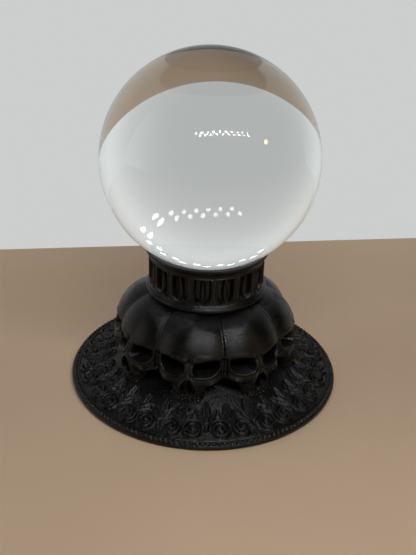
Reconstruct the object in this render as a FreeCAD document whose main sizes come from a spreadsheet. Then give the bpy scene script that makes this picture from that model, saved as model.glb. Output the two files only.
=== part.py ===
"""Crystal ball on a skull stand: a solid glass ball that rests on a soft ring in the cup of a printed stand.

The stand is a low conical base plate, a hollow core, a ring of skulls set round the core, and a fluted
collar whose flange holds the skulls down. Millimetres, +Z up, origin on the table under the middle of the
base plate. The first skull faces -Y.
"""

import FreeCAD
import Part

import math
import os

import Sketcher

OUT_DIR = "parts"

# Driving dimensions in millimetres. Each one is a cell of the spreadsheet with this alias.
SIZES = {
    "ball_radius": 50.0,
    "ball_gap": 0.15,
    "ring_cord_radius": 1.5,
    "ring_centre_radius": 24.8,
    "ring_height": 67.2,
    "ring_clearance": 0.25,
    "base_radius": 66.0,
    "base_edge_height": 1.8,
    "rim_bead_radius": 1.6,
    "rim_width": 3.0,
    "rim_rise": 0.45,
    "foot_radius": 8.0,
    "foot_thickness": 1.5,
    "foot_recess": 0.9,
    "foot_circle_radius": 50.0,
    "foot_clearance": 0.2,
    "foot_count": 4.0,
    "seat_level": 7.0,
    "seat_radius": 45.0,
    "collar_level": 48.0,
    "collar_height": 22.4,
    "collar_bore_radius": 21.0,
    "neck_radius": 27.1,
    "flange_radius": 28.2,
    "flange_height": 3.4,
    "flange_bulge": 0.55,
    "flange_shoulder": 0.9,
    "lip_radius": 29.4,
    "lip_flare_radius": 5.0,
    "lip_flare_height": 5.2,
    "lip_edge_height": 1.2,
    "lip_corner": 0.5,
    "lip_width": 1.65,
    "cup_depth": 4.1,
    "flute_count": 16.0,
    "flute_half_width": 2.9,
    "flute_depth": 1.8,
    "flute_margin": 0.5,
    "rib_half_width": 0.55,
    "rib_point": 1.6,
    "rib_top_gap": 1.2,
    "core_radius": 23.5,
    "core_bore_radius": 17.0,
    "core_spigot_height": 9.0,
    "core_spigot_clearance": 0.1,
    "skull_count": 8.0,
    "skull_inner_radius": 23.8,
    "peg_radius": 2.5,
    "peg_length": 3.0,
    "peg_circle_radius": 33.0,
    "peg_clearance": 0.15,
    "socket_floor_radius": 37.0,
    "nose_floor_radius": 41.0,
    "tooth_gap_depth": 1.2,
    "screw_count": 4.0,
    "screw_circle_radius": 20.25,
    "screw_radius": 1.5,
    "screw_head_radius": 3.0,
    "screw_head_height": 1.6,
    "screw_length": 16.0,
    "screw_hole_depth": 12.0,
    "screw_clearance": 0.1,
}

# Half the angle of one skull's wedge. Neighbours keep a hairline seam between them.
SKULL_HALF_ANGLE = math.radians(22.3)

# Level sections of a skull: (height above the base's seat, radius at the seam, radius at the middle of the
# face), from the jaw's foot, by the teeth, the nose, the eyes and the brow, to the top of the cranium.
SKULL_SECTIONS = (
    (0.0, 32.0, 42.0),
    (3.0, 33.5, 44.8),
    (7.0, 35.0, 45.6),
    (11.0, 38.0, 46.0),
    (15.0, 40.0, 45.2),
    (21.0, 41.0, 43.4),
    (24.0, 40.9, 43.0),
    (26.0, 40.5, 44.2),
    (30.0, 38.6, 41.6),
    (34.0, 35.5, 38.3),
    (37.5, 31.0, 34.6),
    (39.6, 28.4, 31.2),
    (40.8, 26.6, 28.4),
)

# Outlines on the face, as (sideways, height above the base's seat). The eye is the one on +Y.
EYE_OUTLINE = (
    (1.9, 23.3),
    (5.0, 25.2),
    (12.2, 25.4),
    (13.4, 23.0),
    (11.3, 17.0),
    (8.0, 15.4),
    (3.8, 16.2),
    (2.0, 19.0),
)
NOSE_OUTLINE = ((0.0, 16.2), (2.6, 11.6), (2.8, 9.2), (1.2, 8.4), (0.0, 9.4))
TOOTH_PITCH = 2.4
TOOTH_GAP_WIDTH = 0.5
TOOTH_GAP_HEIGHTS = (1.0, 4.6)

FLUTE_PHASE = 5.6  # degrees from the middle of a skull's face to the nearest flute
FACE_PLANE_RADIUS = 52.0  # where the sketches of a skull's face lie, in front of it


class Dim:
    """A size that carries its value and the expression that binds it to the sheet."""

    def __init__(self, value, text):
        self.value = value
        self.text = text

    def _with(self, sign, other, value):
        return Dim(value, f"({self.text} {sign} {as_dim(other).text})")

    def __add__(self, other):
        return self._with("+", other, self.value + as_dim(other).value)

    def __sub__(self, other):
        return self._with("-", other, self.value - as_dim(other).value)

    def __mul__(self, other):
        return self._with("*", other, self.value * as_dim(other).value)

    def __truediv__(self, other):
        return self._with("/", other, self.value / as_dim(other).value)

    def root(self):
        return Dim(math.sqrt(self.value), f"sqrt{self.text}")


def as_dim(value):
    if isinstance(value, Dim):
        return value
    return Dim(float(value), f"{value:.9g}")


def fill_sheet(doc):
    """Makes the sheet of driving dimensions and returns them by name."""
    sheet = doc.addObject("Spreadsheet::Sheet", "Sizes")
    for row, (alias, value) in enumerate(SIZES.items(), start=1):
        sheet.set(f"A{row}", alias)
        sheet.set(f"B{row}", str(value))
        sheet.setAlias(f"B{row}", alias)
    doc.recompute()
    return {alias: Dim(value, f"Sizes.{alias}") for alias, value in SIZES.items()}


def levels(d):
    """The heights that several pieces share."""
    reach = d["ball_radius"] + d["ball_gap"] + d["ring_cord_radius"]
    rise = (reach * reach - d["ring_centre_radius"] * d["ring_centre_radius"]).root()
    return {
        "base": d["foot_thickness"] - d["foot_recess"],
        "ball": d["ring_height"] + rise,
        "collar_top": d["collar_level"] + d["collar_height"],
    }


# Bodies, sketches and features


def new_body(doc, label):
    body = doc.addObject("PartDesign::Body", label)
    body.Label = label
    return body


def origin_feature(body, role):
    return next(f for f in body.Origin.OriginFeatures if f.Role == role)


def new_sketch(body, name, plane="XY_Plane", offset=None):
    """A sketch on one of the body's origin planes, moved along the plane's normal by offset."""
    sketch = body.newObject("Sketcher::SketchObject", name)
    sketch.AttachmentSupport = [(origin_feature(body, plane), "")]
    sketch.MapMode = "FlatFace"
    if offset is not None:
        sketch.AttachmentOffset = FreeCAD.Placement(
            FreeCAD.Vector(0, 0, offset.value), FreeCAD.Rotation()
        )
        sketch.setExpression("AttachmentOffset.Base.z", offset.text)
    return sketch


def bind(sketch, kind, where, size):
    """Adds one constraint and binds its size to the sheet."""
    index = sketch.addConstraint(Sketcher.Constraint(kind, *where, size.value))
    sketch.setExpression(f"Constraints[{index}]", size.text)


def arc_centre(start, end, radius):
    """The centre of the arc of that radius from start to end. A negative radius curves the other way."""
    chord = end - start
    half = chord.Length / 2
    rise = math.sqrt(max(radius * radius - half * half, 0.0))
    side = FreeCAD.Vector(-chord.y, chord.x, 0).normalize()
    return (start + end) / 2 + side * math.copysign(rise, radius)


def draw_loop(sketch, points, radii=None):
    """Draws a closed outline through points and binds every corner to the sheet.

    radii says which edges are arcs: the index of the edge's first point, and the arc's radius, which is
    positive where the arc's centre lies on the left of the edge.
    """
    radii = radii or {}
    corners = [(as_dim(x), as_dim(y)) for x, y in points]
    places = [FreeCAD.Vector(x.value, y.value, 0) for x, y in corners]
    edges = []
    for i, start in enumerate(places):
        end = places[(i + 1) % len(places)]
        if i not in radii:
            edges.append((sketch.addGeometry(Part.LineSegment(start, end)), 1, 2))
            continue
        radius = as_dim(radii[i]).value
        centre = arc_centre(start, end, radius)
        first, last = (start, end) if radius > 0 else (end, start)
        angles = [math.atan2(p.y - centre.y, p.x - centre.x) for p in (first, last)]
        circle = Part.Circle(centre, FreeCAD.Vector(0, 0, 1), abs(radius))
        arc = sketch.addGeometry(Part.ArcOfCircle(circle, *angles))
        edges.append((arc, 1, 2) if radius > 0 else (arc, 2, 1))
    for i, (edge, first, last) in enumerate(edges):
        following, entry, _ = edges[(i + 1) % len(edges)]
        sketch.addConstraint(Sketcher.Constraint("Coincident", edge, last, following, entry))
        bind(sketch, "DistanceX", (-1, 1, edge, first), corners[i][0])
        bind(sketch, "DistanceY", (-1, 1, edge, first), corners[i][1])
        if i in radii:
            size = as_dim(radii[i])
            bind(sketch, "Radius", (edge,), size if size.value > 0 else size * -1)


def draw_circle(sketch, x, y, radius):
    """Draws a circle and binds its centre and radius to the sheet."""
    x, y = as_dim(x), as_dim(y)
    centre = FreeCAD.Vector(x.value, y.value, 0)
    circle = sketch.addGeometry(Part.Circle(centre, FreeCAD.Vector(0, 0, 1), radius.value))
    bind(sketch, "Radius", (circle,), radius)
    bind(sketch, "DistanceX", (-1, 1, circle, 3), x)
    bind(sketch, "DistanceY", (-1, 1, circle, 3), y)


def turned(body, kind, name, sketch):
    """A full turn of the sketch about the body's Z axis. kind is Revolution or Groove."""
    feature = body.newObject(f"PartDesign::{kind}", name)
    feature.Profile = sketch
    feature.ReferenceAxis = (origin_feature(body, "Z_Axis"), [""])
    feature.Angle = 360
    return feature


def straight(body, kind, name, sketch, length, reversed_way=False):
    """A Pad or Pocket of the sketch."""
    feature = body.newObject(f"PartDesign::{kind}", name)
    feature.Profile = sketch
    feature.Length = length.value
    feature.setExpression("Length", length.text)
    feature.Reversed = reversed_way
    return feature


def around(body, name, feature, count):
    """Repeats a feature evenly about the body's Z axis."""
    pattern = body.newObject("PartDesign::PolarPattern", name)
    pattern.Originals = [feature]
    pattern.Axis = (origin_feature(body, "Z_Axis"), [""])
    pattern.Angle = 360
    pattern.Occurrences = int(count.value)
    pattern.setExpression("Occurrences", count.text)
    body.Tip = pattern
    return pattern


def turned_about_z(degrees):
    return FreeCAD.Placement(FreeCAD.Vector(), FreeCAD.Rotation(FreeCAD.Vector(0, 0, 1), degrees))


# The pieces


def make_ball(doc, d, z):
    ball = doc.addObject("Part::Sphere", "crystal_ball")
    ball.setExpression("Radius", d["ball_radius"].text)
    ball.setExpression("Placement.Base.z", z["ball"].text)
    return ball


def make_seat_ring(doc, d):
    ring = doc.addObject("Part::Torus", "seat_ring")
    ring.setExpression("Radius1", d["ring_centre_radius"].text)
    ring.setExpression("Radius2", d["ring_cord_radius"].text)
    ring.setExpression("Placement.Base.z", d["ring_height"].text)
    return ring


def make_collar(doc, d, z):
    """The fluted neck with the cup on top. It slips over the core's spigot; its flange holds the skulls."""
    body = new_body(doc, "collar")
    bottom, top = d["collar_level"], z["collar_top"]
    half = d["flange_height"] / 2
    bulge = d["flange_bulge"]
    flange_arc = (half * half + bulge * bulge) / (bulge * 2)
    neck_start = bottom + d["flange_height"] + d["flange_shoulder"]
    neck_end = top - d["lip_flare_height"]
    outline = (
        (d["collar_bore_radius"], bottom),
        (d["flange_radius"], bottom),
        (d["flange_radius"], bottom + d["flange_height"]),
        (d["neck_radius"], neck_start),
        (d["neck_radius"], neck_end),
        (d["lip_radius"], top - d["lip_edge_height"]),
        (d["lip_radius"], top - d["lip_corner"]),
        (d["lip_radius"] - d["lip_corner"], top),
        (d["lip_radius"] - d["lip_width"], top),
        (d["collar_bore_radius"], top - d["cup_depth"]),
    )
    profile = new_sketch(body, "collar_profile", "XZ_Plane")
    draw_loop(profile, outline, {1: flange_arc, 4: d["lip_flare_radius"] * -1})
    turned(body, "Revolution", "collar_turned", profile)

    groove_section = new_sketch(body, "ring_groove_section", "XZ_Plane")
    groove_radius = d["ring_cord_radius"] + d["ring_clearance"]
    draw_circle(groove_section, d["ring_centre_radius"], d["ring_height"], groove_radius)
    turned(body, "Groove", "ring_groove", groove_section)

    w, r = d["flute_half_width"], d["rib_half_width"]
    spring = neck_start + w + d["flute_margin"]
    flute = new_sketch(body, "flute_outline", "YZ_Plane", d["lip_radius"] + 1)
    flute_top = neck_end - d["flute_margin"]
    draw_loop(flute, ((w * -1, spring), (w, spring), (w, flute_top), (w * -1, flute_top)), {0: w * 1.04})
    rib = (
        (as_dim(0), spring - d["rib_point"]),
        (r, spring),
        (r, flute_top - d["rib_top_gap"]),
        (r * -1, flute_top - d["rib_top_gap"]),
        (r * -1, spring),
    )
    draw_loop(flute, rib)
    reach = d["lip_radius"] + 1 - d["neck_radius"] + d["flute_depth"]
    pocket = straight(body, "Pocket", "flute", flute, reach)
    doc.recompute()
    around(body, "flutes", pocket, d["flute_count"])
    body.Placement = turned_about_z(FLUTE_PHASE)
    return body


def make_core(doc, d):
    """The hollow post inside the ring of skulls, with a spigot that centres the collar."""
    body = new_body(doc, "core")
    spigot = d["collar_bore_radius"] - d["core_spigot_clearance"]
    outline = (
        (d["core_bore_radius"], d["seat_level"]),
        (d["core_radius"], d["seat_level"]),
        (d["core_radius"], d["collar_level"]),
        (spigot, d["collar_level"]),
        (spigot, d["collar_level"] + d["core_spigot_height"]),
        (d["core_bore_radius"], d["collar_level"] + d["core_spigot_height"]),
    )
    profile = new_sketch(body, "core_profile", "XZ_Plane")
    draw_loop(profile, outline)
    turned(body, "Revolution", "core_turned", profile)

    hole = new_sketch(body, "screw_hole_outline", "XY_Plane", d["seat_level"])
    draw_circle(hole, d["screw_circle_radius"], 0, d["screw_radius"] + d["screw_clearance"])
    pocket = straight(body, "Pocket", "screw_hole", hole, d["screw_hole_depth"], reversed_way=True)
    doc.recompute()
    around(body, "screw_holes", pocket, d["screw_count"])
    return body


def make_base_plate(doc, d, z):
    """The low cone that everything stands on, with a bead round its rim."""
    body = new_body(doc, "base_plate")
    bottom, edge = z["base"], d["base_radius"]
    shoulder = bottom + d["base_edge_height"]
    bead_top = edge - 0.7
    outline = (
        (0, bottom),
        (edge - 0.5, bottom),
        (edge, bottom + 0.5),
        (edge, shoulder),
        (bead_top, shoulder + 0.35),
        (edge - d["rim_width"], shoulder + d["rim_rise"]),
        (d["seat_radius"] + 0.6, d["seat_level"] - 0.3),
        (d["seat_radius"], d["seat_level"]),
        (0, d["seat_level"]),
    )
    profile = new_sketch(body, "base_profile", "XZ_Plane")
    draw_loop(profile, outline, {4: d["rim_bead_radius"]})
    turned(body, "Revolution", "base_turned", profile)

    foot = new_sketch(body, "foot_recess_outline", "XY_Plane", bottom)
    diagonal = d["foot_circle_radius"] * math.sqrt(0.5)
    draw_circle(foot, diagonal, diagonal, d["foot_radius"] + d["foot_clearance"])
    recess = straight(body, "Pocket", "foot_recess", foot, d["foot_recess"], reversed_way=True)
    doc.recompute()
    around(body, "foot_recesses", recess, d["foot_count"])

    peg = new_sketch(body, "peg_socket_outline", "XY_Plane", d["seat_level"])
    draw_circle(peg, 0, d["peg_circle_radius"] * -1, d["peg_radius"] + d["peg_clearance"])
    socket = straight(body, "Pocket", "peg_socket", peg, d["peg_length"] + 0.2)
    doc.recompute()
    around(body, "peg_sockets", socket, d["skull_count"])

    shank = new_sketch(body, "screw_passage_outline", "XY_Plane", d["seat_level"])
    draw_circle(shank, d["screw_circle_radius"], 0, d["screw_radius"] + d["screw_clearance"])
    passage = straight(body, "Pocket", "screw_passage", shank, d["seat_level"])
    doc.recompute()
    around(body, "screw_passages", passage, d["screw_count"])

    head = new_sketch(body, "screw_head_outline", "XY_Plane", bottom)
    draw_circle(head, d["screw_circle_radius"], 0, d["screw_head_radius"] + d["screw_clearance"])
    room = d["screw_head_height"] + d["screw_clearance"]
    seat = straight(body, "Pocket", "screw_head_recess", head, room, reversed_way=True)
    doc.recompute()
    around(body, "screw_head_recesses", seat, d["screw_count"])
    return body


def mirrored(outline):
    return tuple((-y, height) for y, height in reversed(outline))


def draw_on_face(sketch, d, outline):
    draw_loop(sketch, [(y, d["seat_level"] + height) for y, height in outline])


def make_skull(doc, d, number):
    """One skull of the ring: a wedge with a domed cranium, a face, and a peg under it.

    It faces +X before it is placed.
    """
    body = new_body(doc, f"skull_{number}")
    cosine, sine = math.cos(SKULL_HALF_ANGLE), math.sin(SKULL_HALF_ANGLE)
    inner = d["skull_inner_radius"]
    sections = []
    for height, seam, middle in SKULL_SECTIONS:
        level = d["seat_level"] + height
        section = new_sketch(body, f"section_{height:.0f}_of_skull_{number}", "XY_Plane", level)
        rise = middle - seam * cosine
        half = seam * sine
        bow = (half * half + rise * rise) / (2 * rise)
        corners = (
            (inner, inner * -sine / cosine),
            (seam * cosine, -half),
            (seam * cosine, half),
            (inner, inner * sine / cosine),
        )
        draw_loop(section, corners, {1: bow})
        sections.append(section)
    loft = body.newObject("PartDesign::AdditiveLoft", f"head_of_skull_{number}")
    loft.Profile = sections[0]
    loft.Sections = sections[1:]
    loft.Ruled = True

    peg = new_sketch(body, f"peg_outline_of_skull_{number}", "XY_Plane", d["seat_level"])
    draw_circle(peg, d["peg_circle_radius"], 0, d["peg_radius"])
    straight(body, "Pad", f"peg_of_skull_{number}", peg, d["peg_length"], reversed_way=True)
    doc.recompute()

    face = as_dim(FACE_PLANE_RADIUS)
    eyes = new_sketch(body, f"eye_outlines_of_skull_{number}", "YZ_Plane", face)
    draw_on_face(eyes, d, EYE_OUTLINE)
    draw_on_face(eyes, d, mirrored(EYE_OUTLINE))
    straight(body, "Pocket", f"eyes_of_skull_{number}", eyes, face - d["socket_floor_radius"])

    nose = new_sketch(body, f"nose_outline_of_skull_{number}", "YZ_Plane", face)
    left_side = [(-y, height) for y, height in reversed(NOSE_OUTLINE[1:-1])]
    draw_on_face(nose, d, (*NOSE_OUTLINE, *left_side))
    straight(body, "Pocket", f"nose_of_skull_{number}", nose, face - d["nose_floor_radius"])

    gaps = new_sketch(body, f"tooth_gap_outlines_of_skull_{number}", "YZ_Plane", face)
    low, high = TOOTH_GAP_HEIGHTS
    for i in (-2, -1, 0, 1, 2):
        left = i * TOOTH_PITCH - TOOTH_GAP_WIDTH / 2
        right = i * TOOTH_PITCH + TOOTH_GAP_WIDTH / 2
        draw_on_face(gaps, d, ((left, low), (right, low), (right, high), (left, high)))
    jaw_front = SKULL_SECTIONS[1][2]
    cut = face - jaw_front + d["tooth_gap_depth"]
    straight(body, "Pocket", f"tooth_gaps_of_skull_{number}", gaps, cut)

    body.Placement = turned_about_z(360 / d["skull_count"].value * (number - 1) - 90)
    return body


def make_foot(doc, d, number):
    """A thin rubber disc stuck in a recess under the base plate."""
    foot = doc.addObject("Part::Cylinder", f"foot_pad_{number}")
    foot.setExpression("Radius", d["foot_radius"].text)
    foot.setExpression("Height", d["foot_thickness"].text)
    angle = math.radians(45 + 360 / d["foot_count"].value * (number - 1))
    foot.setExpression("Placement.Base.x", (d["foot_circle_radius"] * math.cos(angle)).text)
    foot.setExpression("Placement.Base.y", (d["foot_circle_radius"] * math.sin(angle)).text)
    return foot


def make_screws(doc, d, z):
    """The flat-headed screws that go up through the base plate into the core, as one group of solids."""
    bottom = z["base"] + d["screw_clearance"]
    screws = []
    for i in range(int(d["screw_count"].value)):
        head = doc.addObject("Part::Cone", f"screw_head_{i}")
        head.setExpression("Radius1", d["screw_head_radius"].text)
        head.setExpression("Radius2", d["screw_radius"].text)
        head.setExpression("Height", d["screw_head_height"].text)
        shank = doc.addObject("Part::Cylinder", f"screw_shank_{i}")
        shank.setExpression("Radius", d["screw_radius"].text)
        shank.setExpression("Height", d["screw_length"].text)
        blank = doc.addObject("Part::MultiFuse", f"screw_blank_{i}")
        blank.Shapes = [head, shank]
        slots = []
        for name, length, width in (("long", 3.4, 0.8), ("cross", 0.8, 3.4)):
            slot = doc.addObject("Part::Box", f"screw_{name}_slot_{i}")
            slot.Length, slot.Width, slot.Height = length, width, 1.0
            slot.Placement.Base = FreeCAD.Vector(-length / 2, -width / 2, 0)
            slots.append(slot)
        recess = doc.addObject("Part::MultiFuse", f"screw_recess_{i}")
        recess.Shapes = slots
        screw = doc.addObject("Part::Cut", f"screw_{i}")
        screw.Base, screw.Tool = blank, recess
        angle = math.radians(360 / d["screw_count"].value * i)
        screw.setExpression("Placement.Base.x", (d["screw_circle_radius"] * math.cos(angle)).text)
        screw.setExpression("Placement.Base.y", (d["screw_circle_radius"] * math.sin(angle)).text)
        screw.setExpression("Placement.Base.z", bottom.text)
        screws.append(screw)
    group = doc.addObject("Part::Compound", "base_screws")
    group.Links = screws
    return group


def check(doc, pieces):
    """Stops the build if any object failed or any piece isn't made of sound solids."""
    failed = [o.Name for o in doc.Objects if "Invalid" in o.State or "Error" in o.State]
    if failed:
        raise RuntimeError(f"objects failed to recompute: {failed}")
    for piece in pieces:
        shape = piece.Shape
        if shape.isNull() or not shape.isValid() or not shape.Solids:
            raise RuntimeError(f"{piece.Label} isn't a valid solid")
        print(f"{piece.Label}: {len(shape.Solids)} solids, {shape.Volume / 1000:.2f} cm3")


def main():
    doc = FreeCAD.newDocument("CrystalBall")
    d = fill_sheet(doc)
    z = levels(d)
    pieces = [make_ball(doc, d, z), make_seat_ring(doc, d)]
    pieces += [make_collar(doc, d, z), make_core(doc, d), make_base_plate(doc, d, z)]
    pieces += [make_skull(doc, d, n + 1) for n in range(int(d["skull_count"].value))]
    pieces += [make_foot(doc, d, n + 1) for n in range(int(d["foot_count"].value))]
    pieces.append(make_screws(doc, d, z))
    doc.recompute()
    check(doc, pieces)
    os.makedirs(OUT_DIR, exist_ok=True)
    for piece in pieces:
        piece.Shape.exportStep(os.path.join(OUT_DIR, f"{piece.Label}.step"))


main()
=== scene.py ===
import math

import bmesh
import bpy
import numpy as np
from mathutils import Matrix, Vector


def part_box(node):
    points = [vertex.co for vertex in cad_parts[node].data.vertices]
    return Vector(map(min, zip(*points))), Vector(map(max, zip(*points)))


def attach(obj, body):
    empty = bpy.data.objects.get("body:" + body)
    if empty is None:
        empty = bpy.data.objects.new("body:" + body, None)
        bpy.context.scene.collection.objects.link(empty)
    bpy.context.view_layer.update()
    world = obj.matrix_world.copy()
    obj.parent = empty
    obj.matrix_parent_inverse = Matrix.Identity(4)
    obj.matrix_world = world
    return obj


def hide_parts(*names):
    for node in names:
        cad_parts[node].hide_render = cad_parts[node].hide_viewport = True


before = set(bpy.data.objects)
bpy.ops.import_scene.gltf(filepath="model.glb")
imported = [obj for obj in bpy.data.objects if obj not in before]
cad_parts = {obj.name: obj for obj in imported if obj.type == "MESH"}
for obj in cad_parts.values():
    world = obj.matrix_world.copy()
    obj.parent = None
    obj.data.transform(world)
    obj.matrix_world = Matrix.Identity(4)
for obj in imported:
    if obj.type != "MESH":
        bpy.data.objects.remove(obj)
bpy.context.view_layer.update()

MM = 0.001


def box_mm(node):
    """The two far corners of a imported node, in millimetres."""
    low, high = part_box(node)
    return np.array(low) / MM, np.array(high) / MM


ball_low, ball_high = box_mm("crystal_ball")
collar_low, collar_high = box_mm("collar")
plate_low, plate_high = box_mm("base_plate")
ring_low, ring_high = box_mm("seat_ring")

# Sizes are in millimetres up to the stage. Heights are above the table, radii from the upright axis.
BALL_RADIUS = (ball_high[2] - ball_low[2]) / 2
BALL_CENTRE = (ball_high[2] + ball_low[2]) / 2
SEAT = plate_high[2]  # where the skulls stand on the base plate
COLLAR_LOW, COLLAR_TOP = collar_low[2], collar_high[2]
PLATE_RADIUS = plate_high[0]
SKULLS = 8
FLUTES = 16
rng = np.random.default_rng(7)


# ---------------------------------------------------------------- mesh tools


def add_object(name, data, material=None):
    """A new object in the scene, with its material."""
    obj = bpy.data.objects.new(name, data)
    bpy.context.scene.collection.objects.link(obj)
    if material:
        data.materials.append(material)
    return obj


def mesh_object(name, verts, faces, material, body="stand"):
    """A smooth-shaded piece of quads that rides on a body. verts are in millimetres."""
    mesh = bpy.data.meshes.new(name)
    verts = np.asarray(verts, float) * MM
    faces = np.asarray(faces, np.int32)
    corners = faces.shape[1]
    mesh.vertices.add(len(verts))
    mesh.vertices.foreach_set("co", verts.astype(np.float32).ravel())
    mesh.loops.add(faces.size)
    mesh.loops.foreach_set("vertex_index", faces.ravel())
    mesh.polygons.add(len(faces))
    mesh.polygons.foreach_set("loop_start", np.arange(0, faces.size, corners, dtype=np.int32))
    mesh.polygons.foreach_set("use_smooth", np.ones(len(faces), bool))
    mesh.update(calc_edges=True)
    mesh.validate()
    obj = add_object(name, mesh, material)
    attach(obj, body)
    return obj


def hermite(points, x):
    """A smooth curve through points (x, y), evaluated at x."""
    xs, ys = np.array(sorted(points), float).T
    slope = np.gradient(ys, xs)
    x = np.clip(x, xs[0], xs[-1])
    i = np.clip(np.searchsorted(xs, x) - 1, 0, len(xs) - 2)
    h = xs[i + 1] - xs[i]
    t = (x - xs[i]) / h
    return (
        (2 * t**3 - 3 * t**2 + 1) * ys[i]
        + (t**3 - 2 * t**2 + t) * h * slope[i]
        + (3 * t**2 - 2 * t**3) * ys[i + 1]
        + (t**3 - t**2) * h * slope[i + 1]
    )


def smoothstep(low, high, x):
    """0 before low, 1 after high, smooth in between. low may be the larger one."""
    t = np.clip((x - low) / (high - low), 0, 1)
    return t * t * (3 - 2 * t)


def band(x, start, full, fading, end):
    """1 from full to fading, 0 before start and after end, smooth in between."""
    return smoothstep(start, full, x) * (1 - smoothstep(fading, end, x))


def bump(x, width):
    """A soft bell: 1 at zero, close to 0 from twice the width outwards."""
    return np.exp(-((x / width) ** 2))


def smax(a, b, k):
    """The larger of a and b, blended where they differ by less than k."""
    d = np.clip(k - np.abs(a - b), 0, None) / k
    return np.maximum(a, b) + d * d * k / 4


def smin(a, b, k):
    """The smaller of a and b, blended where they differ by less than k."""
    return -smax(-a, -b, k)


def convex(points, x, y, k):
    """The signed distance to a convex outline given anticlockwise, with its corners blended by k."""
    d = None
    for (x0, y0), (x1, y1) in zip(points, points[1:] + points[:1]):
        length = math.hypot(x1 - x0, y1 - y0)
        side = ((x - x0) * (y1 - y0) - (y - y0) * (x1 - x0)) / length
        d = side if d is None else smax(d, side, k)
    return d


def surface_nets(field, origin, step):
    """Vertices and quads of the surface where field is zero. Field is negative inside."""
    shape = np.array(field.shape) - 1
    total = np.zeros((*shape, 3))
    count = np.zeros(shape)
    crossings = []
    for axis in range(3):
        a = np.moveaxis(field, axis, 0)
        first, second = a[:-1], a[1:]
        cross = (first < 0) != (second < 0)
        with np.errstate(divide="ignore", invalid="ignore"):
            t = np.where(cross, first / (first - second), 0)
        others = [i for i in range(3) if i != axis]
        size = [shape[i] for i in others]
        for db in (0, 1):
            for dc in (0, 1):
                m = cross[:, db : db + size[0], dc : dc + size[1]]
                part = np.zeros((*m.shape, 3))
                part[..., axis] = t[:, db : db + size[0], dc : dc + size[1]]
                part[..., others[0]] = db
                part[..., others[1]] = dc
                count += np.moveaxis(m, 0, axis)
                total += np.moveaxis(part * m[..., None], 0, axis)
        crossings.append((cross, first < 0))
    used = count > 0
    index = np.full(shape, -1)
    index[used] = np.arange(used.sum())
    cells = np.argwhere(used)
    verts = (cells + total[used] / count[used][:, None]) * step + origin
    quads = []
    for axis, (cross, inside) in enumerate(crossings):
        others = [i for i in range(3) if i != axis]
        size = [shape[i] for i in others]
        inner = (slice(None), slice(1, size[0]), slice(1, size[1]))
        m = cross[inner]
        ids = np.moveaxis(index, axis, 0)
        ring = [
            ids[:, : size[0] - 1, : size[1] - 1][m],
            ids[:, 1:, : size[1] - 1][m],
            ids[:, 1:, 1:][m],
            ids[:, : size[0] - 1, 1:][m],
        ]
        quad = np.stack(ring, 1)
        flip = inside[inner][m] == (axis == 1)
        quad[flip] = quad[flip][:, ::-1]
        quads.append(quad)
    return verts, np.concatenate(quads)


def ring_faces(rows, columns):
    """Quads of a grid of rows by columns of vertices that closes on itself both ways."""
    r, c = np.meshgrid(np.arange(rows), np.arange(columns), indexing="ij")
    r1, c1 = (r + 1) % rows, (c + 1) % columns
    quad = [r * columns + c, r * columns + c1, r1 * columns + c1, r1 * columns + c]
    return np.stack(quad, -1).reshape(-1, 4)


def resample(outline, step):
    """Points at most step apart along a closed outline of (radius, height)."""
    made = []
    for (r0, z0), (r1, z1) in zip(outline, outline[1:] + outline[:1]):
        n = max(1, math.ceil(math.hypot(r1 - r0, z1 - z0) / step))
        made += [(r0 + (r1 - r0) * i / n, z0 + (z1 - z0) * i / n) for i in range(n)]
    return np.array(made)


def lathe(name, outline, columns, material, step, body="stand", centre=(0, 0), relief=None):
    """A closed outline (radius, height), anticlockwise, turned about the upright axis through centre.

    relief tells how far each point moves outward.
    """
    section = resample(outline, step)
    angle = np.linspace(0, 2 * math.pi, columns, endpoint=False)
    r = np.repeat(section[:, :1], columns, 1)
    z = np.repeat(section[:, 1:], columns, 1)
    a = np.repeat(angle[None], len(section), 0)
    if relief:
        r = r + relief(r, z, a)
    verts = np.stack([r * np.cos(a) + centre[0], r * np.sin(a) + centre[1], z], -1)
    faces = ring_faces(len(section), columns)
    return mesh_object(name, verts.reshape(-1, 3), faces[:, ::-1], material, body)


def arc(centre, radius, start, end, n):
    """n points on an arc, angles in degrees."""
    angles = np.radians(np.linspace(start, end, n))
    return [(centre[0] + radius * math.cos(t), centre[1] + radius * math.sin(t)) for t in angles]


# ---------------------------------------------------------------- materials

LAYER = 0.2  # height of a printed layer


def node_material(name):
    """A new material with its nodes, its links and its Principled shader."""
    material = bpy.data.materials.new(name)
    material.use_nodes = True
    nodes = material.node_tree.nodes
    return material, nodes, material.node_tree.links, nodes["Principled BSDF"]


def add(nodes, kind, **values):
    """A new node. Each value sets the input of that name, or else the node's own property."""
    node = nodes.new(kind)
    for key, value in values.items():
        if key in node.inputs:
            node.inputs[key].default_value = value
        else:
            setattr(node, key, value)
    return node


def ramp(nodes, links, source, low, high, low_value, high_value):
    """Maps source from low..high to low_value..high_value."""
    node = nodes.new("ShaderNodeMapRange")
    links.new(source, node.inputs["Value"])
    node.inputs["From Min"].default_value = low
    node.inputs["From Max"].default_value = high
    node.inputs["To Min"].default_value = low_value
    node.inputs["To Max"].default_value = high_value
    return node.outputs["Result"]


def colour_ramp(nodes, links, source, stops):
    """Maps source to a colour that runs through stops, pairs of a place and a colour."""
    node = nodes.new("ShaderNodeValToRGB")
    elements = node.color_ramp.elements
    while len(elements) < len(stops):
        elements.new(0.5)
    for element, (place, colour) in zip(elements, stops):
        element.position = place
        element.color = (*colour, 1)
    links.new(source, node.inputs["Fac"])
    return node.outputs["Color"]


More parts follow.
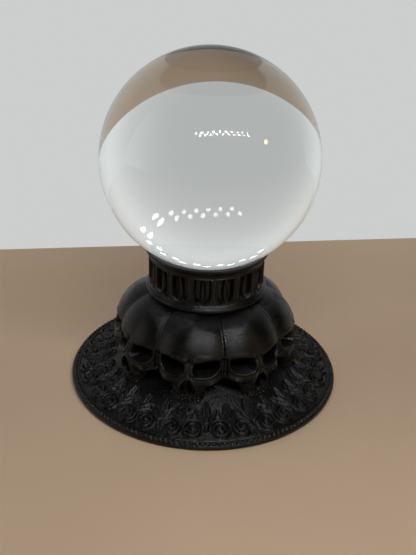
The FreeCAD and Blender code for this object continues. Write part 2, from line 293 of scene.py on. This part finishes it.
def weighted_sum(nodes, links, parts):
    """The sum of (source, weight) pairs."""
    total = None
    for source, weight in parts:
        scaled = add(nodes, "ShaderNodeMath", operation="MULTIPLY")
        links.new(source, scaled.inputs[0])
        scaled.inputs[1].default_value = weight
        if total is None:
            total = scaled.outputs[0]
            continue
        both = add(nodes, "ShaderNodeMath", operation="ADD")
        links.new(total, both.inputs[0])
        links.new(scaled.outputs[0], both.inputs[1])
        total = both.outputs[0]
    return total


def printed_plastic(name):
    """Black satin filament: fine level layers, a slow unevenness between them, and a fine grain."""
    material, nodes, links, shader = node_material(name)
    place = nodes.new("ShaderNodeTexCoord").outputs["Object"]
    layers = add(
        nodes,
        "ShaderNodeTexWave",
        wave_type="BANDS",
        bands_direction="Z",
        wave_profile="SIN",
        Scale=2 * math.pi / (20 * LAYER * MM),
        Distortion=0.35,
        Detail=2.0,
    )
    layers.inputs["Detail Scale"].default_value = 2.0
    links.new(place, layers.inputs["Vector"])
    stretch = add(nodes, "ShaderNodeMapping", Scale=(160, 160, 1100))
    links.new(place, stretch.inputs["Vector"])
    banding = add(nodes, "ShaderNodeTexNoise", Scale=1.0, Detail=3.0, Roughness=0.6)
    links.new(stretch.outputs["Vector"], banding.inputs["Vector"])
    grain = add(nodes, "ShaderNodeTexNoise", Scale=1400.0, Detail=4.0, Roughness=0.7)
    links.new(place, grain.inputs["Vector"])
    cloud = add(nodes, "ShaderNodeTexNoise", Scale=55.0, Detail=3.0)
    links.new(place, cloud.inputs["Vector"])

    parts = ((layers.outputs["Fac"], 0.35), (banding.outputs["Fac"], 1.0), (grain.outputs["Fac"], 0.35))
    relief = add(nodes, "ShaderNodeBump", Strength=0.4, Distance=0.12 * MM)
    links.new(weighted_sum(nodes, links, parts), relief.inputs["Height"])
    links.new(relief.outputs["Normal"], shader.inputs["Normal"])

    blacks = [(0.30, (0.0025, 0.0026, 0.0025)), (0.70, (0.0060, 0.0062, 0.0059))]
    links.new(colour_ramp(nodes, links, banding.outputs["Fac"], blacks), shader.inputs["Base Color"])
    uneven = add(nodes, "ShaderNodeMath", operation="MULTIPLY_ADD")
    links.new(cloud.outputs["Fac"], uneven.inputs[0])
    uneven.inputs[1].default_value = 0.5
    links.new(banding.outputs["Fac"], uneven.inputs[2])
    links.new(ramp(nodes, links, uneven.outputs[0], 0.5, 1.0, 0.24, 0.38), shader.inputs["Roughness"])
    shader.inputs["Specular IOR Level"].default_value = 0.32
    shader.inputs["Anisotropic"].default_value = 0.87
    shader.inputs["Anisotropic Rotation"].default_value = 0.25
    level = add(nodes, "ShaderNodeTangent", direction_type="RADIAL", axis="Z")
    links.new(level.outputs["Tangent"], shader.inputs["Tangent"])
    return material


def clear_glass(name):
    """Polished optical glass with a faintly uneven tint."""
    material, nodes, links, shader = node_material(name)
    place = nodes.new("ShaderNodeTexCoord").outputs["Object"]
    cloud = add(nodes, "ShaderNodeTexNoise", Scale=38.0, Detail=5.0, Roughness=0.6, Distortion=1.2)
    links.new(place, cloud.inputs["Vector"])
    tints = [(0.2, (0.985, 0.995, 0.992)), (0.9, (0.97, 0.985, 0.985))]
    links.new(colour_ramp(nodes, links, cloud.outputs["Fac"], tints), shader.inputs["Base Color"])
    shader.inputs["Roughness"].default_value = 0.0
    shader.inputs["Transmission Weight"].default_value = 1.0
    shader.inputs["IOR"].default_value = 1.517
    return material


def soft_rubber(name, dark, light, rough):
    """Matte rubber with a fine pebbled skin and pale dust."""
    material, nodes, links, shader = node_material(name)
    place = nodes.new("ShaderNodeTexCoord").outputs["Object"]
    skin = add(nodes, "ShaderNodeTexNoise", Scale=900.0, Detail=3.0)
    links.new(place, skin.inputs["Vector"])
    dust = add(nodes, "ShaderNodeTexNoise", Scale=140.0, Detail=4.0, Roughness=0.7)
    links.new(place, dust.inputs["Vector"])
    dusty = colour_ramp(nodes, links, dust.outputs["Fac"], [(0.35, dark), (0.75, light)])
    links.new(dusty, shader.inputs["Base Color"])
    matte = ramp(nodes, links, skin.outputs["Fac"], 0.3, 0.7, rough - 0.08, rough + 0.08)
    links.new(matte, shader.inputs["Roughness"])
    relief = add(nodes, "ShaderNodeBump", Strength=0.3, Distance=0.05 * MM)
    links.new(skin.outputs["Fac"], relief.inputs["Height"])
    links.new(relief.outputs["Normal"], shader.inputs["Normal"])
    return material


def plated_steel(name):
    """Zinc-plated steel, slightly mottled."""
    material, nodes, links, shader = node_material(name)
    place = nodes.new("ShaderNodeTexCoord").outputs["Object"]
    mottle = add(nodes, "ShaderNodeTexNoise", Scale=600.0, Detail=4.0)
    links.new(place, mottle.inputs["Vector"])
    greys = [(0.3, (0.42, 0.43, 0.45)), (0.7, (0.62, 0.62, 0.63))]
    links.new(colour_ramp(nodes, links, mottle.outputs["Fac"], greys), shader.inputs["Base Color"])
    links.new(ramp(nodes, links, mottle.outputs["Fac"], 0.3, 0.7, 0.22, 0.38), shader.inputs["Roughness"])
    relief = add(nodes, "ShaderNodeBump", Strength=0.2, Distance=0.03 * MM)
    links.new(mottle.outputs["Fac"], relief.inputs["Height"])
    links.new(relief.outputs["Normal"], shader.inputs["Normal"])
    shader.inputs["Metallic"].default_value = 1.0
    return material


plastic = printed_plastic("black_filament")
glass = clear_glass("optical_glass")
silicone = soft_rubber("black_silicone", (0.012, 0.012, 0.012), (0.03, 0.03, 0.03), 0.5)
rubber = soft_rubber("black_rubber", (0.018, 0.018, 0.018), (0.05, 0.05, 0.048), 0.75)
steel = plated_steel("plated_steel")


# ---------------------------------------------------------------- skulls

# A skull is drawn in its wedge. Places across the face are arc lengths from its middle, measured at
# FACE_RADIUS, and each outline is one half of the face.
FACE_RADIUS = 43.0
SEAM = 0.04  # degrees left free on each side of a skull
SKULL_HALF = math.radians(180 / SKULLS - SEAM) * FACE_RADIUS
SKULL_INNER = 24.2  # the skulls' hollow back, just clear of the core
SOCKET_FLOOR = 34.6
NOSE_FLOOR = 41.0
JAW_BACK = 33.4  # the wall behind the gap between two muzzles

# The middle of the face: (height, radius).
FACE = [
    (6, 43.4), (8, 44.0), (11, 44.6), (14, 45.0), (18, 45.7),
    (22, 45.4), (25, 44.4), (28, 43.4), (30.5, 42.9), (32, 43.5),
]
# The eye socket and the nose: (place across, height), anticlockwise.
SOCKET = [
    (1.9, 26.8), (3.4, 24.7), (9.2, 24.1), (12.8, 25.4), (14.9, 28.6),
    (14.5, 31.9), (9.6, 32.7), (3.6, 30.9), (1.9, 29.4),
]
NOSE = [(0.0, 15.6), (1.9, 14.6), (3.3, 16.4), (3.4, 18.4), (1.5, 22.4), (0.0, 23.6), (-2.6, 20.0)]
# The muzzle below the cheekbones: (height, half its width).
MUZZLE = [(6, 7.0), (10, 7.2), (14.5, 8.0), (19.5, 10.0), (24, 11.0)]
MUZZLE_TOP = 24
# Soft rises and dents of the face: (rise, place across, half-width, height, half-height).
SWELLINGS = [
    (0.8, 2.4, 1.5, 31.9, 1.3),  # inner end of the brow
    (0.5, 7.5, 4.5, 33.6, 1.2),  # brow
    (-0.8, 0.0, 0.42, 32.4, 1.9),  # crease between the brows
    (1.2, 11.4, 2.8, 20.8, 1.9),  # cheekbone
    (-0.9, 6.4, 2.2, 18.6, 2.0),  # hollow beside the nose
    (0.35, 0.0, 2.2, 13.0, 0.9),  # gum over the front teeth
]
TOOTH_PITCH = 2.05
TOOTH_HEIGHT = 2.0
TEETH_LOW = 9.9


def oval(z, centre, level, half_width, half_height):
    """The radius at height z of an oval profile centred at (centre, level)."""
    return centre + half_width * np.sqrt(np.clip(1 - ((z - level) / half_height) ** 2, 0, 1))


def eye_outline(side, z):
    return convex(SOCKET, side, z, 0.9)


def nose_outline(side, z):
    return convex(NOSE, side, z, 0.4)


def skull_skin(u, z):
    """The radius of the smooth face and cranium. u runs across the face."""
    side = np.abs(u)
    across = np.clip(side / SKULL_HALF, 0, 1)
    ridge = np.where(z > 32, oval(z, 21.0, 31.4, 22.5, 17.0), hermite(FACE, z))
    valley = np.where(z > 28, oval(z, 21.0, 28.0, 20.0, 19.7), 40.6 + 0.4 * smoothstep(6, 28, z))
    dome = (1 - across**2.2) ** 0.8
    cheek = 1 - across**1.8
    cranium = smoothstep(29, 34, z)
    skin = valley + (ridge - valley) * (dome * cranium + cheek * (1 - cranium))
    for rise, place, half_width, level, half_height in SWELLINGS:
        skin += rise * bump(side - place, half_width) * bump(z - level, half_height)

    nose_bridge = 0.85 * smoothstep(1.25, 0.75, side) - 0.35 * bump(u, 0.35)
    skin += nose_bridge * band(z, 21, 24, 29.5, 31)
    seam_rib = 0.5 * bump(side - SKULL_HALF + 0.3, 0.5)
    skin += seam_rib * smoothstep(22, 26, z)
    socket_rim = 0.75 * bump(eye_outline(side, z) - 0.4, 0.7)
    skin += socket_rim * band(z, 20, 22, 27.5, 31.5)
    nose_rim = 0.5 * bump(nose_outline(side, z) - 0.5, 0.55)
    skin += nose_rim
    temple_dent = 1.3 * smoothstep(14.9, 16.0, side)
    skin -= temple_dent * band(z, 21.5, 24, 30.5, 33)
    jaw_bend = 2.4 * smoothstep(3.5, 9.5, side)
    skin -= jaw_bend * (1 - smoothstep(16.5, 20.5, z))
    return skin


def teeth(u, z):
    """Two rows of teeth with roots above them, as a change of the face's radius."""
    side = np.abs(u)
    tooth = np.abs(np.sin(math.pi * u / TOOTH_PITCH))
    crown = np.abs(np.sin(math.pi * (z - TEETH_LOW) / TOOTH_HEIGHT))
    rows = band(z, 9.0, 9.6, 13.6, 14.2) * (1 - smoothstep(6.0, 6.8, side))
    roots = band(z, 13.6, 14.2, 15.0, 17.5) * (1 - smoothstep(5.0, 6.6, side))
    return rows * (1.2 * np.sqrt(tooth * crown) - 0.6) + 0.35 * roots * (tooth - 0.5)


def skull_field(radius, u, z, step):
    """A skull in its wedge, negative inside, on a grid with that step."""
    level, side = z[0], np.abs(u[0])
    outer = skull_skin(u[0], level) + teeth(u[0], level)
    slope = np.gradient(outer, step[1], step[2])
    steepness = np.sqrt(1 + np.clip(slope[0] ** 2 + slope[1] ** 2, 0, 9))
    skin = (radius - outer) / steepness

    muzzle = smax(side - hermite(MUZZLE, level), level - MUZZLE_TOP, 1.0)
    cheek_edge = 19.4 + 0.25 * np.clip(side - 8.0, 0, None) - level
    face = smax(skin, smin(cheek_edge, muzzle, 2.2), 1.2)
    back = smax(radius - JAW_BACK - 2.0 * bump(side, 5.0), level - 27, 1.0)
    solid = smin(face, back, 1.6)

    socket_floor = SOCKET_FLOOR + 0.02 * (side - 7.5) ** 2
    socket_walls = eye_outline(side, level) - 0.12 * (radius - 43.5)
    socket = smax(socket_walls, socket_floor - radius, 3.0)
    solid = smax(solid, -socket, 0.4)
    septum = 0.6 * smoothstep(19.4, 15.6, level) - side
    nostril = smax(nose_outline(side, level), septum, 0.4)
    nostril = smax(nostril, NOSE_FLOOR - radius, 1.0)
    solid = smax(solid, -nostril, 0.35)

    solid = smax(solid, side - SKULL_HALF, 0.25)
    solid = np.maximum(solid, SKULL_INNER - radius)
    solid = np.maximum(solid, SEAT - 0.1 - z)
    return np.maximum(solid, z - (COLLAR_LOW - 0.2))


def skull_mesh():
    """Vertices and quads of one skull that faces +X."""
    step = np.array([0.34, 0.30, 0.30])
    low = np.array([SKULL_INNER - 1.0, -SKULL_HALF - 0.9, SEAT - 0.8])
    high = np.array([47.6, SKULL_HALF + 0.9, COLLAR_LOW + 0.5])
    counts = np.ceil((high - low) / step).astype(int) + 1
    axes = [low[i] + step[i] * np.arange(counts[i]) for i in range(3)]
    radius, u, z = np.meshgrid(*axes, indexing="ij")
    verts, quads = surface_nets(skull_field(radius, u, z, step), low, step)
    angle = verts[:, 1] / FACE_RADIUS
    placed = np.stack([verts[:, 0] * np.cos(angle), verts[:, 0] * np.sin(angle), verts[:, 2]], 1)
    return placed, quads


def make_skulls():
    verts, quads = skull_mesh()
    for k in range(SKULLS):
        turn = 2 * math.pi * k / SKULLS - math.pi / 2
        c, s = math.cos(turn), math.sin(turn)
        placed = verts @ np.array([[c, s, 0], [-s, c, 0], [0, 0, 1]])
        skull = mesh_object(f"skull_head_{k + 1}", placed, quads, plastic)
        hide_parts(f"skull_{k + 1}")


make_skulls()


# ---------------------------------------------------------------- base plate

RELIEF_OUT = PLATE_RADIUS - 0.15
RELIEF_IN = 32.0
RELIEF_THICKNESS = 0.9
RELIEF_COVER = 0.05  # how far its ground lies over plate_level
RELIEF_SUNK = 0.03  # how far its two edges dip under plate_level
REPEATS = 16
SCROLL_CIRCLE = 57.75
SCROLL_APART = 5.05  # from the middle of a repeat to the middle of a scroll
LINE_CIRCLE = 62.8
BEADS = 168
BEAD_CIRCLE = 64.55


def dome_of(distance, width):
    """A round ridge: 1 on its middle line, 0 from width outwards."""
    return np.sqrt(np.clip(1 - (distance / width) ** 2, 0, 1))


def volute(x, y):
    """A scroll wound round a boss, with small petals between its turns."""
    reach, pitch = 4.75, 2.05
    rho = np.hypot(x, y)
    phi = np.arctan2(y, x)
    wound = np.mod(rho / pitch - phi / (2 * math.pi), 1.0)
    line = np.abs(wound - 0.5) * pitch
    height = 1.7 * dome_of(line, 0.66) * (1 - smoothstep(reach - 0.25, reach + 0.1, rho))
    petals = 0.5 + 0.5 * np.cos(9 * phi)
    height = np.maximum(height, 0.8 * petals * dome_of(rho - 2.5, 0.8))
    return np.maximum(height, 1.9 * dome_of(rho, 1.15))


def leaf(x, y, petals, spread, length, width, curl):
    """A fan of petals that opens from the origin towards -y, with that many on each side of its middle one.

    spread and curl are in degrees.
    """
    rho = np.hypot(x, y)
    way = np.degrees(np.arctan2(x, -y))
    height = np.zeros_like(x)
    for k in range(-petals, petals + 1):
        reach = length * (1 - 0.38 * abs(k) / petals)
        along = rho / reach
        across = np.radians(way - k * spread - k * curl * along**2) * rho
        root = np.sqrt(np.clip(along * 1.6, 0.12, 1))
        tip = np.sqrt(np.clip(1 - along**9, 0, 1))
        vein = 0.5 * bump(across, 0.3 * width) * smoothstep(0.25, 0.5, along)
        petal = dome_of(across, width * root * tip + 1e-6) - vein
        height = np.maximum(height, petal * (along < 1))
    return height


def ornament(r, a):
    """Height of the scrollwork at radius r and angle a.

    A repeat is a pair of scrolls, with fans between the two and between one pair and the next.
    """
    period = 2 * math.pi / REPEATS
    local = np.mod(a + math.pi / 2 + period / 2, period) - period / 2
    side = np.abs(local) * SCROLL_CIRCLE
    edge = side - period / 2 * SCROLL_CIRCLE
    narrowing = (r / SCROLL_CIRCLE) ** 0.5
    pair = local * SCROLL_CIRCLE * narrowing
    gap = edge * narrowing
    y = r - SCROLL_CIRCLE
    # (height, place across, place along, petals, spread, length, width, curl)
    fans = [
        (1.2, pair, y + 3.4, 2, 24.0, 9.4, 1.3, 12.0),
        (2.3, pair, y + 2.4, 1, 21.0, 10.0, 2.2, 14.0),
        (1.2, gap, y + 1.6, 2, 20.0, 12.5, 1.3, 12.0),
        (2.2, gap, y + 0.8, 1, 17.0, 12.0, 2.3, 12.0),
        (1.3, gap, 4.7 - y, 2, 27.0, 4.6, 0.8, 4.0),
        (1.3, pair, 4.7 - y, 1, 30.0, 4.2, 0.8, 4.0),
    ]
    height = volute(side - SCROLL_APART, y + 0.1)
    for rise, *fan in fans:
        height = np.maximum(height, rise * leaf(*fan))
    drop = 1.7 * dome_of(np.hypot(edge, (y + 0.9) / 1.5), 0.95)
    return 1.15 * np.maximum(height, drop) * band(r, 39.5, 41.5, 62.2, 62.7)


def rim_beads(r, a):
    """Height of the row of beads near the rim."""
    along = (np.mod(a * BEADS / (2 * math.pi), 1.0) - 0.5) * (2 * math.pi * BEAD_CIRCLE / BEADS)
    return 1.15 * dome_of(np.hypot(along, r - BEAD_CIRCLE), 1.12)


def plate_level(r):
    """Height of the relief's ground: the plate's cone, with a cove that rises to the skulls' jaws."""
    shoulder = plate_low[2] + 1.8
    jaws = [(32.0, SEAT + 9.0), (37.0, SEAT + 6.6), (41.0, SEAT + 4.8)]
    cove = jaws + [(45.0, SEAT + 2.9), (50.0, SEAT + 0.3), (57.0, SEAT - 2.3)]
    rim = [(63.0, shoulder + 0.45), (65.3, shoulder + 0.35), (66.0, shoulder)]
    return hermite(cove + rim, r)


def print_noise(shape):
    """The small unevenness of printed relief, in mm."""
    fine = rng.normal(0, 1, shape)
    for _ in range(2):
        fine = (fine + np.roll(fine, 1, 0) + np.roll(fine, 1, 1) + np.roll(fine, (1, 1), (0, 1))) / 4
    return fine * 0.12


def polar_points(r, a, z):
    return np.stack([r * np.cos(a), r * np.sin(a), z], -1).reshape(-1, 3)


def make_base():
    rows, under_rows, columns = 138, 12, 1440
    angle = np.linspace(0, 2 * math.pi, columns, endpoint=False)
    r, a = np.meshgrid(np.linspace(RELIEF_OUT, RELIEF_IN, rows), angle, indexing="ij")
    lift = ornament(r, a) + 0.8 * dome_of(r - LINE_CIRCLE, 0.5) + rim_beads(r, a) + print_noise(r.shape)
    inside = smoothstep(RELIEF_OUT, RELIEF_OUT - 0.25, r) * smoothstep(RELIEF_IN, RELIEF_IN + 0.5, r)
    z = plate_level(r) - RELIEF_SUNK + (lift + RELIEF_SUNK + RELIEF_COVER) * inside
    top = polar_points(r, a, z)
    r, a = np.meshgrid(np.linspace(RELIEF_IN, RELIEF_OUT, under_rows), angle, indexing="ij")
    bottom = polar_points(r, a, plate_level(r) - RELIEF_THICKNESS)
    verts = np.concatenate([top, bottom])
    relief = mesh_object("base_relief", verts, ring_faces(rows + under_rows, columns), plastic)


make_base()


# ---------------------------------------------------------------- collar

NECK_RADIUS = 27.1
NECK_LOW = COLLAR_LOW + 4.1
NECK_HIGH = COLLAR_LOW + 17.0
FLUTE_PHASE = math.radians(5.6)
FLUTE_SPRING = COLLAR_LOW + 9.0  # where a flute's round foot meets its straight sides
FLUTE_HALF = 3.75
FLUTE_DEPTH = 2.3
BORE = 21.0  # for the core's spigot


def flute_relief(r, z, a):
    """How far the neck's skin moves outward. Each flute is a U with a raised edge and a dart in it."""
    period = 2 * math.pi / FLUTES
    local = np.mod(a - FLUTE_PHASE + math.pi / 2 + period / 2, period) - period / 2
    x = np.abs(local) * NECK_RADIUS
    foot = np.hypot(x, np.minimum(z - FLUTE_SPRING, 0) * 0.85) - FLUTE_HALF
    d = np.maximum(foot, z - NECK_HIGH)
    cut = -FLUTE_DEPTH * smoothstep(0.2, -0.5, d)
    rim = 0.6 * bump(d - 0.4, 0.42)
    dart_levels = [FLUTE_SPRING - 3.2, FLUTE_SPRING - 0.5, FLUTE_SPRING + 3.5, NECK_HIGH - 0.8]
    dart_half = np.interp(z, dart_levels, [0.45, 1.5, 1.25, 0.5])
    dart = 1.9 * dome_of(x, dart_half) * (d < -0.2)
    outside = (r > NECK_RADIUS - 0.9) & (r < NECK_RADIUS + 1.9)
    fade = band(z, NECK_LOW, NECK_LOW + 0.8, NECK_HIGH - 0.2, NECK_HIGH + 0.8)
    return np.where(outside, (cut + rim + dart) * fade, 0)


def make_collar():
    low, top = COLLAR_LOW, COLLAR_TOP
    outline = [(BORE, low), (27.6, low)]
    outline += arc((27.55, low + 1.75), 1.35, -75, 75, 12)  # bead
    outline += [(27.45, low + 3.6)]
    outline += [(NECK_RADIUS, NECK_LOW), (NECK_RADIUS, NECK_HIGH)]
    outline += arc((31.9, low + 17.3), 4.8, 180, 128, 8)  # flare
    outline += [(29.35, low + 21.3), (29.4, low + 21.85)]
    outline += arc((28.95, low + 21.95), 0.45, 0, 90, 6)  # lip
    outline += [(27.75, top), (26.1, top - 1.05)]
    outline += arc((24.8, 67.2), 1.76, 28, -215, 18)  # groove for the ring
    outline += [(21.3, top - 3.95), (BORE, top - 4.3)]
    collar = lathe("collar_fluted", outline, 960, plastic, step=0.26, relief=flute_relief)
    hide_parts("collar")


make_collar()


# ---------------------------------------------------------------- ball, ring, core, feet


def make_ball():
    mesh = bpy.data.meshes.new("glass_ball")
    shape = bmesh.new()
    bmesh.ops.create_icosphere(shape, subdivisions=6, radius=BALL_RADIUS * MM)
    for v in shape.verts:
        v.co = v.co.normalized() * BALL_RADIUS * MM + Vector((0, 0, BALL_CENTRE * MM))
    for f in shape.faces:
        f.smooth = True
    shape.to_mesh(mesh)
    shape.free()
    ball = add_object("glass_ball", mesh, glass)
    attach(ball, "ball")
    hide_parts("crystal_ball")


def make_ring():
    cord = 1.5
    centre = (ring_high[0] - cord, (ring_low[2] + ring_high[2]) / 2)
    section = arc(centre, cord, 0, 350, 36)
    ring = lathe("silicone_ring", section, 360, silicone, body="seat", step=0.5)
    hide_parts("seat_ring")


def make_core():
    low, high = box_mm("core")
    shoulder = COLLAR_LOW  # the collar rests here, round the spigot
    outline = [
        (17.0, low[2] + 0.4), (17.4, low[2]), (23.1, low[2]), (23.5, low[2] + 0.4),
        (23.5, shoulder - 0.4), (23.1, shoulder), (20.9, shoulder + 0.2), (20.9, high[2] - 0.7),
        (20.3, high[2]), (17.4, high[2]), (17.0, high[2] - 0.4),
    ]
    post = lathe("core_post", outline, 240, plastic, step=1.0)
    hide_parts("core")


def make_feet():
    for i in range(4):
        node = f"foot_pad_{i + 1}"
        low, high = box_mm(node)
        centre = (low + high)[:2] / 2
        outline = [(0.01, 0.12), (5.8, 0.12), (6.1, 0.0), (7.5, 0.0)]
        outline += arc((7.6, 0.4), 0.4, -90, 0, 5)
        outline += [(8.0, 1.3), (7.8, 1.5), (0.01, 1.5)]
        foot = lathe(f"rubber_foot_{i + 1}", outline, 96, rubber, 0.5, centre=centre)
        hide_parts(node)


make_ball()
make_ring()
make_core()
make_feet()

# The base plate and its screws keep their CAD meshes.
for node, material in (("base_plate", plastic), ("base_screws", steel)):
    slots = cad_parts[node].data.materials
    slots.clear()
    slots.append(material)


# ---------------------------------------------------------------- stage, light and camera

# From here on, sizes are in metres.
CAMERA_AZIMUTH = math.radians(8.7)
CAMERA_PITCH = math.radians(27.44)
CAMERA_ROLL = math.radians(1.97)
CAMERA_PLACE = (0.0008, -0.368, 0.2437)  # before the turn by its azimuth
LENS = 55.784  # mm, on a sensor 36 mm wide
TENT_AZIMUTH = math.radians(17.0)  # the light tent stands a little askew to the camera
TENT_BACK = 0.1485
DIODE_PITCH = 0.036
DIODE_ROW = 0.022
DIODES_A_ROW = 10
DIODES_PLACE = (0.039, -0.2715, 0.378)  # middle of both rows across, first row, height
DIODE_GLOW = 0.0062  # radius of the body that shows
DIODE_LAMP = 0.0045  # radius of the lamp that lights
DIODE_POWER = 0.17  # watts
PALE = (0.97, 1.0, 0.99, 1)
turned = Matrix.Rotation(CAMERA_AZIMUTH, 4, "Z")
tent = Matrix.Rotation(TENT_AZIMUTH, 4, "Z")


def make_camera():
    data = bpy.data.cameras.new("camera")
    data.lens = LENS
    data.sensor_width = 36
    camera = add_object("camera", data)
    right = Vector((1, 0, 0))
    up = Vector((0, math.sin(CAMERA_PITCH), math.cos(CAMERA_PITCH)))
    back = Vector((0, -math.cos(CAMERA_PITCH), math.sin(CAMERA_PITCH)))
    x = right * math.cos(CAMERA_ROLL) + up * math.sin(CAMERA_ROLL)
    y = up * math.cos(CAMERA_ROLL) - right * math.sin(CAMERA_ROLL)
    pose = Matrix((x, y, back)).transposed().to_4x4()
    pose.translation = Vector(CAMERA_PLACE)
    camera.matrix_world = turned @ pose
    bpy.context.scene.camera = camera


def make_floor():
    material, nodes, links, shader = node_material("pale_floor")
    place = nodes.new("ShaderNodeTexCoord").outputs["Object"]
    mottle = add(nodes, "ShaderNodeTexNoise", Scale=9.0, Detail=3.0)
    links.new(place, mottle.inputs["Vector"])
    browns = [(0.3, (0.74, 0.53, 0.355)), (0.7, (0.79, 0.57, 0.385))]
    links.new(colour_ramp(nodes, links, mottle.outputs["Fac"], browns), shader.inputs["Base Color"])
    shader.inputs["Roughness"].default_value = 0.75
    mesh = bpy.data.meshes.new("floor")
    corners = [(-1.6, -1.6), (1.6, -1.6), (1.6, TENT_BACK), (-1.6, TENT_BACK)]
    mesh.from_pydata([tent @ Vector((x, y, 0)) for x, y in corners], [], [(0, 1, 2, 3)])
    floor = add_object("floor", mesh, material)


def set_seen_by(obj, **kinds):
    """Lets only the kinds of ray that are named see obj."""
    for kind in ("camera", "diffuse", "glossy", "transmission", "shadow", "volume_scatter"):
        setattr(obj, f"visible_{kind}", kinds.get(kind, False))


def towards(nodes, links, direction, ends, strengths):
    """A strength that changes smoothly with the angle between a ray and a direction. ends are cosines."""
    way = nodes.new("ShaderNodeTexCoord").outputs["Generated"]
    facing = add(nodes, "ShaderNodeVectorMath", operation="DOT_PRODUCT")
    links.new(way, facing.inputs[0])
    facing.inputs[1].default_value = tent.to_3x3() @ Vector(direction).normalized()
    smooth = ramp(nodes, links, facing.outputs["Value"], *ends, *strengths)
    smooth.node.interpolation_type = "SMOOTHSTEP"
    return smooth


def make_world():
    """Pale to the eye, with a painted shadow of the ball low down behind it that only the glass sees, and
    dim as a light on the black plastic.
    """
    world = bpy.data.worlds.new("studio")
    bpy.context.scene.world = world
    world.use_nodes = True
    nodes, links = world.node_tree.nodes, world.node_tree.links
    path = nodes.new("ShaderNodeLightPath")
    pale = nodes["Background"]
    pale.inputs["Color"].default_value = PALE
    pale.inputs["Strength"].default_value = 0.62
    glassed = add(nodes, "ShaderNodeBackground", Color=PALE)
    # Painted shadow: through the glass, the backdrop is darker low down behind, where the ball's shadow
    # falls on the floor and the wall.
    painted_ball_shadow = towards(nodes, links, (0, 0.88, -0.47), (0.5, 1.0), (0.76, 0.46))
    links.new(painted_ball_shadow, glassed.inputs["Strength"])
    dim = add(nodes, "ShaderNodeBackground", Color=(1, 1, 1, 1))
    side_wall = towards(nodes, links, (-1, 0.2, 0.15), (0.7, 0.99), (0.006, 0.8))
    links.new(side_wall, dim.inputs["Strength"])
    first = nodes.new("ShaderNodeMixShader")
    links.new(path.outputs["Is Transmission Ray"], first.inputs["Fac"])
    links.new(dim.outputs[0], first.inputs[1])
    links.new(glassed.outputs[0], first.inputs[2])
    second = nodes.new("ShaderNodeMixShader")
    links.new(path.outputs["Is Camera Ray"], second.inputs["Fac"])
    links.new(first.outputs[0], second.inputs[1])
    links.new(pale.outputs[0], second.inputs[2])
    links.new(second.outputs[0], nodes["World Output"].inputs["Surface"])


def make_wall():
    """A pale wall close behind, which lights the stand's back and edges and shows only in reflections."""
    material, nodes, links, shader = node_material("pale_wall")
    nodes.remove(shader)
    axes = nodes.new("ShaderNodeSeparateXYZ")
    links.new(nodes.new("ShaderNodeTexCoord").outputs["Object"], axes.inputs[0])
    glow = add(nodes, "ShaderNodeEmission", Color=PALE)
    links.new(ramp(nodes, links, axes.outputs["Z"], 0.06, 0.30, 0.5, 0.06), glow.inputs["Strength"])
    links.new(glow.outputs[0], nodes["Material Output"].inputs["Surface"])
    mesh = bpy.data.meshes.new("wall")
    corners = [(-0.9, 0.0), (0.9, 0.0), (0.9, 0.9), (-0.9, 0.9)]
    mesh.from_pydata([tent @ Vector((x, TENT_BACK, z)) for x, z in corners], [], [(0, 1, 2, 3)])
    wall = add_object("wall", mesh, material)
    set_seen_by(wall, diffuse=True, glossy=True)


def make_glow(name, places, radius, colour, strength):
    """Small bright bodies that show only as reflections and through the glass."""
    material, nodes, links, shader = node_material(name)
    nodes.remove(shader)
    glow = add(nodes, "ShaderNodeEmission", Color=(*colour, 1), Strength=strength)
    links.new(glow.outputs[0], nodes["Material Output"].inputs["Surface"])
    mesh = bpy.data.meshes.new(name)
    shape = bmesh.new()
    for place in places:
        spot = Matrix.Translation(tent @ Vector(place))
        bmesh.ops.create_icosphere(shape, subdivisions=3, radius=radius, matrix=spot)
    shape.to_mesh(mesh)
    shape.free()
    body = add_object(name, mesh, material)
    set_seen_by(body, glossy=True, transmission=True)


def make_lamps():
    """Two staggered rows of diodes along the front of a small light tent, and one warm lamp outside it.

    The diodes' light comes from point lamps in the same places. The glass doesn't take their light; it shows
    the glowing bodies.
    """
    x, y, z = DIODES_PLACE
    places = []
    for row in range(2):
        for i in range(DIODES_A_ROW):
            along = DIODE_PITCH * (i + 0.5 * row - (DIODES_A_ROW - 0.5) / 2)
            places.append((x + along, y - DIODE_ROW * row, z))
    make_glow("diodes", places, DIODE_GLOW, (1.0, 1.0, 1.0), 32)
    make_glow("warm_lamp", [(0.94, -0.66, 0.68)], 0.05, (1.0, 0.75, 0.35), 18)
    unlit = bpy.data.collections.new("unlit_by_lamps")
    unlit.objects.link(bpy.data.objects["glass_ball"])
    unlit.collection_objects[0].light_linking.link_state = "EXCLUDE"
    for i, place in enumerate(places):
        data = bpy.data.lights.new(f"diode_{i}", "POINT")
        data.energy = DIODE_POWER
        data.shadow_soft_size = DIODE_LAMP
        lamp = add_object(f"diode_{i}", data)
        lamp.location = tent @ Vector(place)
        lamp.visible_camera = False
        lamp.light_linking.receiver_collection = unlit


make_camera()
make_floor()
make_world()
make_wall()
make_lamps()

bpy.context.scene.view_settings.view_transform = "Standard"
